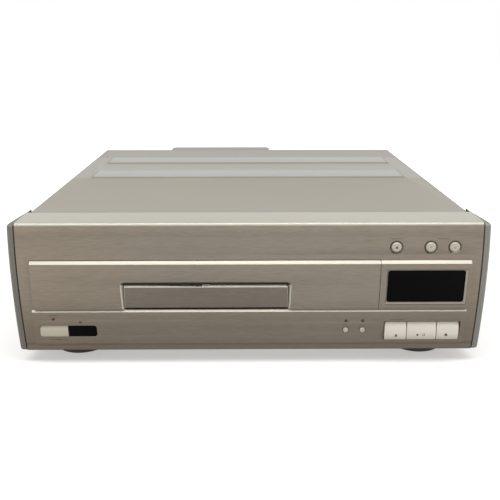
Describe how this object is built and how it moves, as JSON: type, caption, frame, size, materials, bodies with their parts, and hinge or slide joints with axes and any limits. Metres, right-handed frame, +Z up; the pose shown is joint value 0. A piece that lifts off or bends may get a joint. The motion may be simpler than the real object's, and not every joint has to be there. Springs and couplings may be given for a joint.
{
  "type": "laserdisc player",
  "caption": "Wide silver disc player with a barrel-curved front, a wide disc drawer, a narrow drawer inside it, a dark display window, keys and round feet.",
  "frame": {"origin": "middle of the player's outer size, on the surface that it stands on", "axes": "+X to the right as seen from the front, -Y out of the front, +Z up"},
  "size_m": [0.44, 0.453, 0.1412],
  "materials": {
    "brushed_front": "horizontally brushed, warm champagne silver",
    "satin_silver": "satin champagne-silver paint",
    "silver_steel": "satin champagne-silver paint on sheet steel",
    "bright_screw": "plated",
    "zinc_steel": "zinc-plated sheet",
    "dark_steel": "matt dark paint",
    "dark_plastic": "matt moulded",
    "black_plastic": "matt moulded",
    "foot_rubber": "matt",
    "dark_window": "clear smoked, glossy",
    "tube_glass": "dark grey-green",
    "red_lamp": "clear red, unlit",
    "circuit_board": "green solder mask",
    "white_plastic": "natural moulded",
    "brass_pulley": "turned",
    "motor_steel": "plated can",
    "aluminium_turntable": "turned",
    "cast_metal": "as cast",
    "lens_glass": "coated",
    "component_black": "moulded",
    "coil_tape": "yellow tape over copper",
    "jack_metal": "nickel plated",
    "pale_key": "satin moulded, pale cream silver",
    "button_silver": "satin moulded, champagne silver"
  },
  "bodies": {
    "root": {"case_screws": "bright_screw", "chassis_pan": "zinc_steel", "clamp_bridge": "zinc_steel", "deck_posts": "motor_steel", "display_bezel": "brushed_front", "display_tube": "tube_glass", "display_window": "dark_window", "drive_belt": "foot_rubber", "feet": "dark_plastic", "foot_pads": "foot_rubber", "front_board": "circuit_board", "front_panel": "brushed_front", "indicator_lamps": "red_lamp", "jack_block": "black_plastic", "jack_shells": "jack_metal", "left_cheek": "satin_silver", "left_tray_guide": "black_plastic", "loading_motor": "motor_steel", "lower_fascia": "brushed_front", "main_board": "circuit_board", "main_board_components": "component_black", "power_board": "circuit_board", "power_board_components": "component_black", "power_inlet": "black_plastic", "rear_housing": "silver_steel", "rear_panel": "dark_steel", "remote_window": "dark_window", "right_cheek": "satin_silver", "right_tray_guide": "black_plastic", "tact_switches": "black_plastic", "top_cover": "silver_steel", "transformer_coil": "coil_tape", "transformer_core": "motor_steel"},
    "large_drawer": {"large_tray": "dark_plastic", "large_drawer_front": "brushed_front"},
    "small_drawer": {"small_tray": "black_plastic", "small_drawer_front": "brushed_front"},
    "lifting_deck": {"mechanism_deck": "zinc_steel", "left_turnover_plate": "zinc_steel", "right_turnover_plate": "zinc_steel", "spindle_motor": "motor_steel"},
    "turntable": {"turntable": "aluminium_turntable"},
    "cradle": {"turnover_cradle": "cast_metal"},
    "carriage": {"pickup_carriage": "cast_metal"},
    "lens": {"pickup_lens": "lens_glass"},
    "feed_gear": {"feed_gear": "white_plastic"},
    "clamper": {"clamper_puck": "black_plastic"},
    "loading_gear": {"loading_gear": "white_plastic"},
    "belt_pulley": {"belt_pulley": "white_plastic"},
    "motor_pulley": {"motor_pulley": "brass_pulley"},
    "dot_button_1": {"dot_button_1": "button_silver"},
    "dot_button_2": {"dot_button_2": "button_silver"},
    "open_key": {"open_key": "pale_key"},
    "play_key": {"play_key": "pale_key"},
    "power_button": {"power_button": "pale_key"},
    "round_button_1": {"round_button_1": "button_silver"},
    "round_button_2": {"round_button_2": "button_silver"},
    "round_button_3": {"round_button_3": "button_silver"},
    "stop_key": {"stop_key": "pale_key"}
  },
  "joints": [
    {"name": "large_drawer_slide", "type": "slide", "parent": "root", "child": "large_drawer", "axis": [0, -1, 0], "range_m": [0, 0.31]},
    {"name": "small_drawer_slide", "type": "slide", "parent": "large_drawer", "child": "small_drawer", "axis": [0, -1, 0], "range_m": [0, 0.22]},
    {"name": "deck_lift", "type": "slide", "parent": "root", "child": "lifting_deck", "axis": [0, 0, 1], "range_m": [0, 0.012]},
    {"name": "turntable_spin", "type": "hinge", "parent": "lifting_deck", "child": "turntable", "pos_m": [-0.0404, -0.052, 0.06], "axis": [0, 0, 1], "continuous": true},
    {"name": "pickup_turnover", "type": "hinge", "parent": "lifting_deck", "child": "cradle", "pos_m": [-0.0404, 0.166, 0.072], "axis": [1, 0, 0], "range_deg": [0, 180]},
    {"name": "pickup_feed", "type": "slide", "parent": "cradle", "child": "carriage", "axis": [0, 1, 0], "range_m": [-0.194, 0]},
    {"name": "lens_focus", "type": "slide", "parent": "carriage", "child": "lens", "axis": [0, 0, 1], "range_m": [-0.001, 0.001], "stiffness_N_per_m": 200},
    {"name": "feed_gear_spin", "type": "hinge", "parent": "carriage", "child": "feed_gear", "pos_m": [-0.0764, 0.166, 0.03255], "axis": [1, 0, 0], "continuous": true},
    {"name": "clamper_spin", "type": "hinge", "parent": "root", "child": "clamper", "pos_m": [-0.0404, -0.052, 0.0753], "axis": [0, 0, 1], "continuous": true},
    {"name": "loading_gear_spin", "type": "hinge", "parent": "root", "child": "loading_gear", "pos_m": [0.13897, -0.165, 0.0595], "axis": [0, 0, 1], "continuous": true},
    {"name": "belt_pulley_spin", "type": "hinge", "parent": "root", "child": "belt_pulley", "pos_m": [0.16625, -0.14925, 0.0595], "axis": [0, 0, 1], "continuous": true},
    {"name": "motor_pulley_spin", "type": "hinge", "parent": "root", "child": "motor_pulley", "pos_m": [0.18926, -0.11025, 0.0595], "axis": [0, 0, 1], "continuous": true},
    {"name": "dot_button_1_press", "type": "slide", "parent": "root", "child": "dot_button_1", "axis": [0, 1, 0], "range_m": [0, 0.0015], "stiffness_N_per_m": 600},
    {"name": "dot_button_2_press", "type": "slide", "parent": "root", "child": "dot_button_2", "axis": [0, 1, 0], "range_m": [0, 0.0015], "stiffness_N_per_m": 600},
    {"name": "open_key_press", "type": "slide", "parent": "root", "child": "open_key", "axis": [0, 1, 0], "range_m": [0, 0.0015], "stiffness_N_per_m": 600},
    {"name": "play_key_press", "type": "slide", "parent": "root", "child": "play_key", "axis": [0, 1, 0], "range_m": [0, 0.0015], "stiffness_N_per_m": 600},
    {"name": "power_button_press", "type": "slide", "parent": "root", "child": "power_button", "axis": [0, 1, 0], "range_m": [0, 0.0015], "stiffness_N_per_m": 600},
    {"name": "round_button_1_press", "type": "slide", "parent": "root", "child": "round_button_1", "axis": [0, 1, 0], "range_m": [0, 0.0015], "stiffness_N_per_m": 600},
    {"name": "round_button_2_press", "type": "slide", "parent": "root", "child": "round_button_2", "axis": [0, 1, 0], "range_m": [0, 0.0015], "stiffness_N_per_m": 600},
    {"name": "round_button_3_press", "type": "slide", "parent": "root", "child": "round_button_3", "axis": [0, 1, 0], "range_m": [0, 0.0015], "stiffness_N_per_m": 600},
    {"name": "stop_key_press", "type": "slide", "parent": "root", "child": "stop_key", "axis": [0, 1, 0], "range_m": [0, 0.0015], "stiffness_N_per_m": 600}
  ],
  "couplings": [
    {"joint": "loading_gear_spin", "follows": "large_drawer_slide", "rad_per_m": 47.619},
    {"joint": "belt_pulley_spin", "follows": "large_drawer_slide", "rad_per_m": -95.238},
    {"joint": "motor_pulley_spin", "follows": "large_drawer_slide", "rad_per_m": -468.47},
    {"joint": "feed_gear_spin", "follows": "pickup_feed", "rad_per_m": -142.86}
  ]
}
